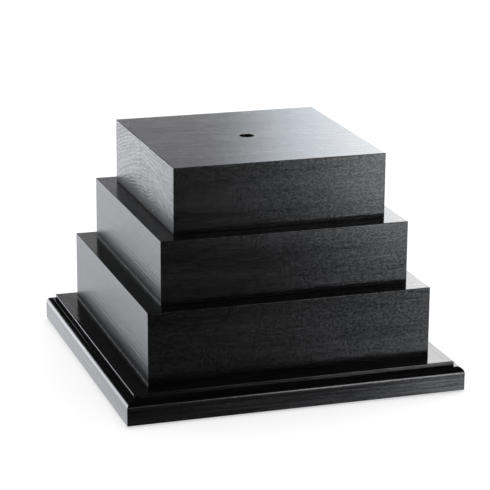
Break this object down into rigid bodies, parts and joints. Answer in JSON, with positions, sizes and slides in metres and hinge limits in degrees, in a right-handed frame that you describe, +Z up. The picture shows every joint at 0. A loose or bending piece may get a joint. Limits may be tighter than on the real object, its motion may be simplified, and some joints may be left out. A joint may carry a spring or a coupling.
{
  "type": "display plinth",
  "caption": "Stepped square display plinth of black-stained wood on a moulded base frame, with a central hole for a fixing rod.",
  "frame": {"origin": "centre of the footprint, on the surface that the plinth stands on", "axes": "+Z up along the fixing hole, +X to the right along the grain of the front faces, -Y towards the front"},
  "size_m": [0.239, 0.239, 0.161],
  "materials": {
    "black_wood": "black stain under satin lacquer, faint open grain",
    "raw_softwood": "planed, unfinished",
    "raw_plywood": "sanded, unfinished",
    "zinc_steel": "bright zinc plate",
    "black_felt": "pressed wool felt"
  },
  "bodies": {
    "root": {"top_block_front_stave": "black_wood", "top_block_rear_stave": "black_wood", "middle_top_panel": "black_wood", "middle_front_panel": "black_wood", "middle_right_panel": "black_wood", "middle_back_panel": "black_wood", "middle_left_panel": "black_wood", "middle_corner_block_1": "raw_softwood", "middle_corner_block_2": "raw_softwood", "middle_corner_block_3": "raw_softwood", "middle_corner_block_4": "raw_softwood", "lower_top_panel": "black_wood", "lower_front_panel": "black_wood", "lower_right_panel": "black_wood", "lower_back_panel": "black_wood", "lower_left_panel": "black_wood", "lower_corner_block_1": "raw_softwood", "lower_corner_block_2": "raw_softwood", "lower_corner_block_3": "raw_softwood", "lower_corner_block_4": "raw_softwood", "base_front_rail": "black_wood", "base_right_rail": "black_wood", "base_back_rail": "black_wood", "base_left_rail": "black_wood", "base_panel": "raw_plywood", "mitre_spline_1": "raw_plywood", "mitre_spline_2": "raw_plywood", "mitre_spline_3": "raw_plywood", "mitre_spline_4": "raw_plywood", "top_block_screws": "zinc_steel", "middle_tier_screws": "zinc_steel", "lower_tier_screws": "zinc_steel", "felt_strip_front": "black_felt", "felt_strip_right": "black_felt", "felt_strip_back": "black_felt", "felt_strip_left": "black_felt"}
  },
  "joints": []
}
